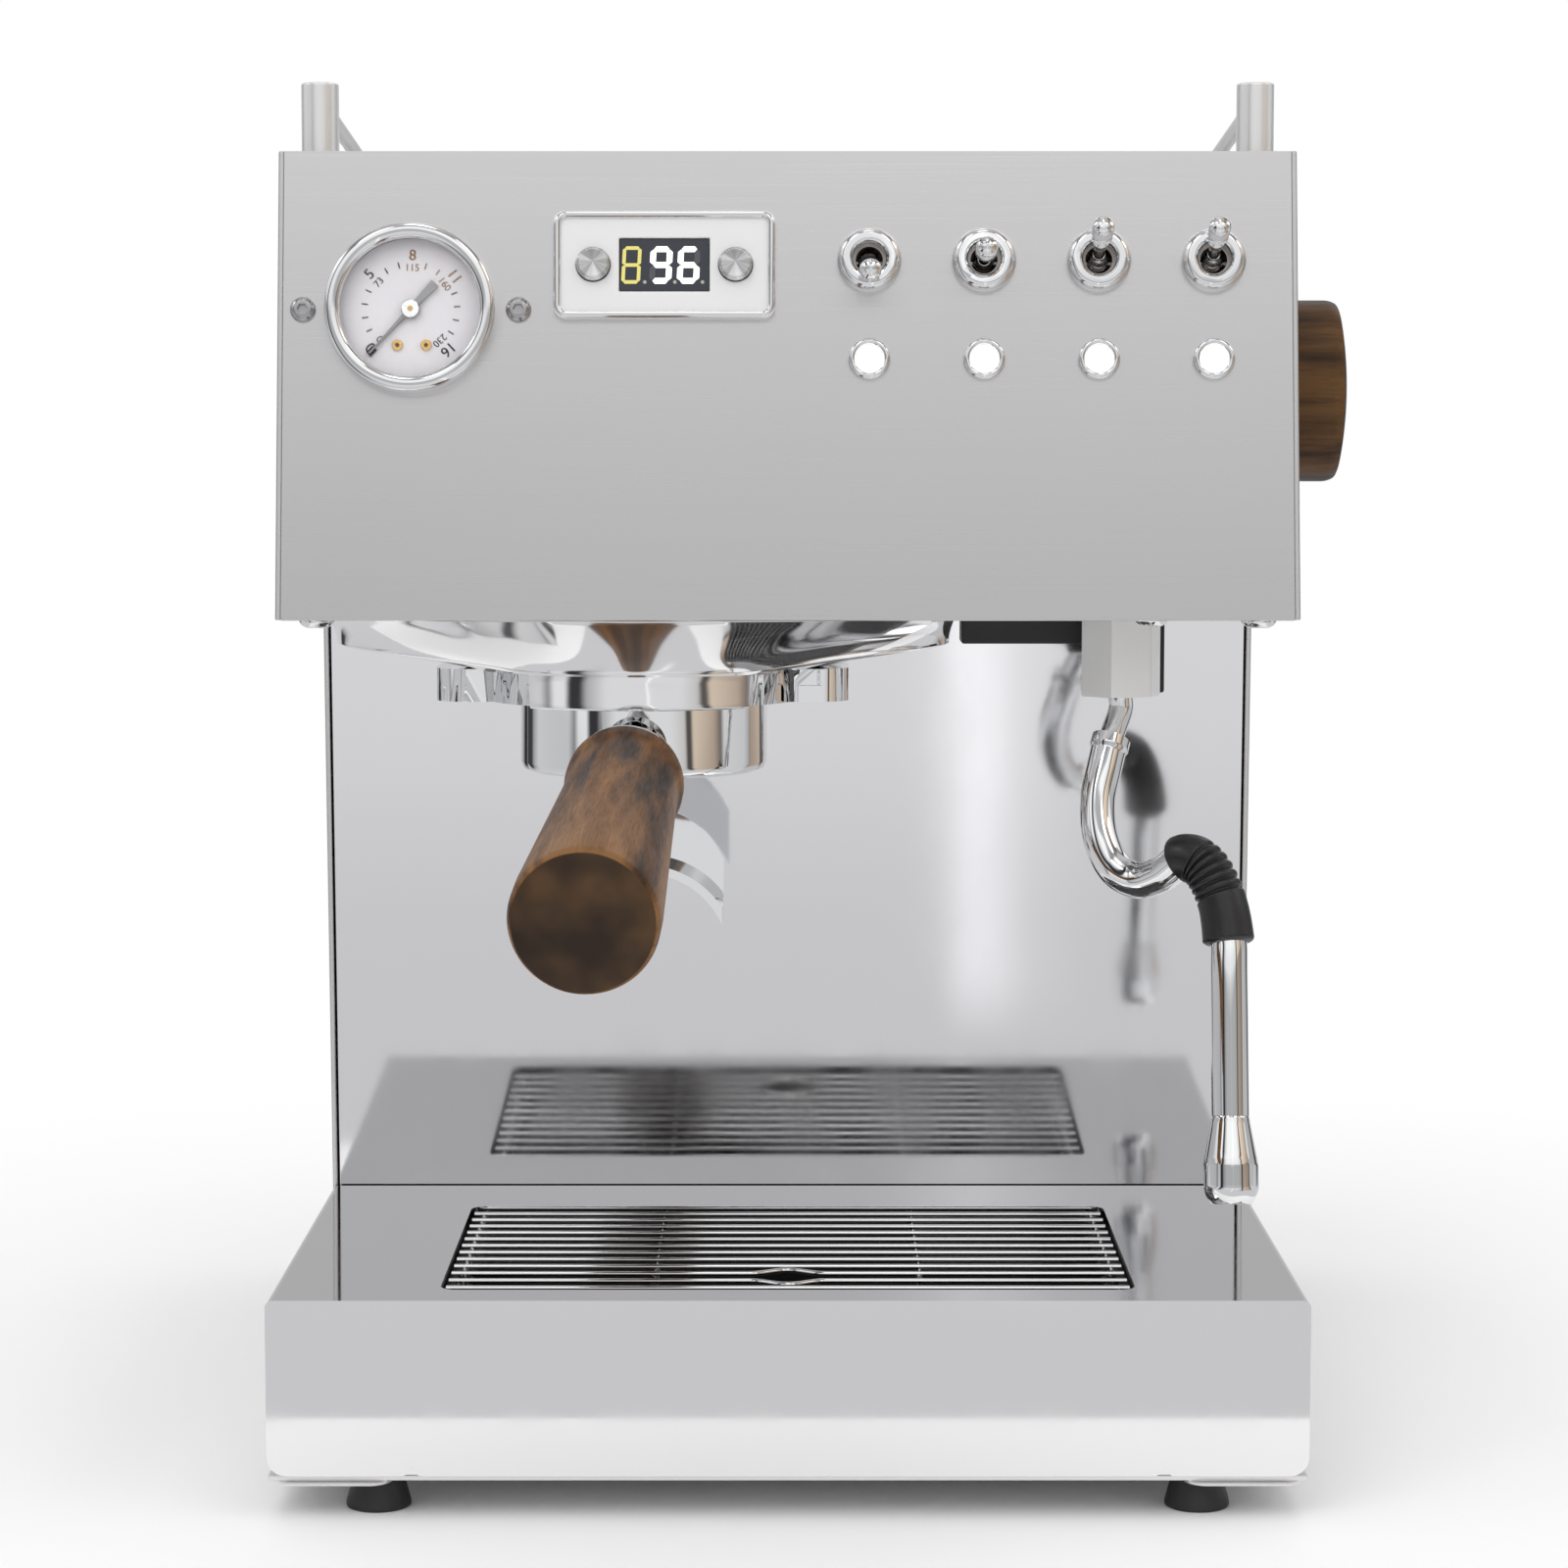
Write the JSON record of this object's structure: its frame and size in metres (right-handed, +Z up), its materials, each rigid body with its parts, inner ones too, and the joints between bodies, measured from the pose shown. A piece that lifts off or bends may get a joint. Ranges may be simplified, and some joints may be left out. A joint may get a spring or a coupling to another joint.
{
  "type": "espresso machine",
  "caption": "Steel espresso machine with a pull-out drip tray, locking portafilter, swivelling steam wand, toggle switches, gauge and a lift-out water tank.",
  "frame": {"origin": "middle of the whole machine's box, on the counter under the feet", "axes": "+Z up, +Y from the front to the rear, +X to the right as seen from the front"},
  "size_m": [0.2892, 0.4258, 0.3736],
  "materials": {
    "brushed_steel": "fine horizontal brushing",
    "polished_steel": "mirror polished",
    "chrome": "bright chrome plate",
    "black_rubber": "satin",
    "black_plastic": "satin moulded",
    "walnut": "oiled walnut",
    "brass": "machined",
    "dial_white": "printed dial",
    "clear_glass": "clear",
    "tank_plastic": "smoked clear plastic",
    "lamp_white": "lit white lens",
    "board_green": "circuit board",
    "hose_white": "silicone and plastic hose"
  },
  "bodies": {
    "machine": {"chassis_pan": "brushed_steel", "rubber_feet": "black_rubber", "side_panel_left": "brushed_steel", "side_panel_right": "brushed_steel", "front_panel": "brushed_steel", "backsplash": "polished_steel", "head_underside": "brushed_steel", "rear_panel": "brushed_steel", "cup_tray": "polished_steel", "rail_posts": "brushed_steel", "rail_rods": "brushed_steel", "fascia_screws": "polished_steel", "underside_screws": "polished_steel", "group_bell": "chrome", "group_crown": "chrome", "group_gasket": "black_rubber", "shower_screen": "polished_steel", "coffee_boiler": "brass", "steam_boiler": "brushed_steel", "vibration_pump": "brass", "pump_mounts": "black_rubber", "solenoid_valve": "brushed_steel", "steam_valve": "brass", "wand_holder": "brushed_steel", "wand_bracket": "black_plastic", "gauge_case": "black_plastic", "gauge_dial": "dial_white", "gauge_bezel": "chrome", "gauge_glass": "clear_glass", "display_frame": "polished_steel", "display_module": "black_plastic", "control_board": "board_green", "switch_rings": "chrome", "switch_bodies": "black_plastic", "lamp_bezels": "chrome", "lamp_lenses": "lamp_white", "mains_inlet": "black_plastic", "tank_dock": "black_plastic", "hoses": "hose_white"},
    "portafilter": {"portafilter_body": "chrome", "portafilter_handle": "walnut", "filter_basket": "polished_steel", "spout": "chrome"},
    "power_switch": {"power_lever": "chrome"},
    "coffee_switch": {"coffee_lever": "chrome"},
    "water_switch": {"water_lever": "chrome"},
    "steam_switch": {"steam_lever": "chrome"},
    "needle": {"gauge_needle": "brushed_steel"},
    "button_minus": {"minus_button": "polished_steel"},
    "button_plus": {"plus_button": "polished_steel"},
    "steam_control": {"steam_knob": "walnut", "steam_spindle": "brushed_steel"},
    "steam_wand": {"wand_tube": "chrome", "wand_grip": "black_rubber", "wand_tip": "chrome"},
    "tray": {"drip_tray": "brushed_steel", "drip_basin": "black_plastic"},
    "grate": {"drip_grate": "chrome"},
    "tank": {"water_tank": "tank_plastic"},
    "lid": {"tank_lid": "black_plastic"}
  },
  "joints": [
    {"name": "portafilter_turn", "type": "hinge", "parent": "machine", "child": "portafilter", "pos_m": [-0.0496, -0.00914, 0.2132], "axis": [0, 0, 1], "range_deg": [-50, 0]},
    {"name": "power_toggle", "type": "hinge", "parent": "machine", "child": "power_switch", "pos_m": [0.01195, -0.04957, 0.32533], "axis": [1, 0, 0], "range_deg": [-30, 0]},
    {"name": "coffee_toggle", "type": "hinge", "parent": "machine", "child": "coffee_switch", "pos_m": [0.0423, -0.04957, 0.32533], "axis": [1, 0, 0], "range_deg": [-15, 15]},
    {"name": "water_toggle", "type": "hinge", "parent": "machine", "child": "water_switch", "pos_m": [0.07265, -0.04957, 0.32533], "axis": [1, 0, 0], "range_deg": [0, 30]},
    {"name": "steam_toggle", "type": "hinge", "parent": "machine", "child": "steam_switch", "pos_m": [0.103, -0.04957, 0.32533], "axis": [1, 0, 0], "range_deg": [0, 30]},
    {"name": "needle_sweep", "type": "hinge", "parent": "machine", "child": "needle", "pos_m": [-0.1093, -0.05552, 0.313], "axis": [0, 0.9882, -0.153], "range_deg": [0, 272], "stiffness_Nm_per_rad": 0.0001, "springref_deg": -28.65},
    {"name": "minus_press", "type": "slide", "parent": "machine", "child": "button_minus", "axis": [0, 0.9882, -0.153], "range_m": [0, 0.001], "stiffness_N_per_m": 400, "springref_m": -0.001},
    {"name": "plus_press", "type": "slide", "parent": "machine", "child": "button_plus", "axis": [0, 0.9882, -0.153], "range_m": [0, 0.001], "stiffness_N_per_m": 400, "springref_m": -0.001},
    {"name": "steam_turn", "type": "hinge", "parent": "machine", "child": "steam_control", "pos_m": [0.1254, -0.00514, 0.292], "axis": [1, 0, 0], "range_deg": [0, 330]},
    {"name": "wand_swivel", "type": "hinge", "parent": "machine", "child": "steam_wand", "pos_m": [0.0814, -0.03014, 0.209], "axis": [0, 0, 1], "range_deg": [-95, 25]},
    {"name": "tray_pull", "type": "slide", "parent": "machine", "child": "tray", "axis": [0, -1, 0], "range_m": [0, 0.15]},
    {"name": "grate_lift", "type": "slide", "parent": "tray", "child": "grate", "axis": [0, 0, 1], "range_m": [0, 0.015]},
    {"name": "tank_lift", "type": "slide", "parent": "machine", "child": "tank", "axis": [0, 0, 1], "range_m": [0, 0.25]},
    {"name": "lid_hinge", "type": "hinge", "parent": "tank", "child": "lid", "pos_m": [-0.0096, 0.19786, 0.3524], "axis": [-1, 0, 0], "range_deg": [0, 95]}
  ]
}
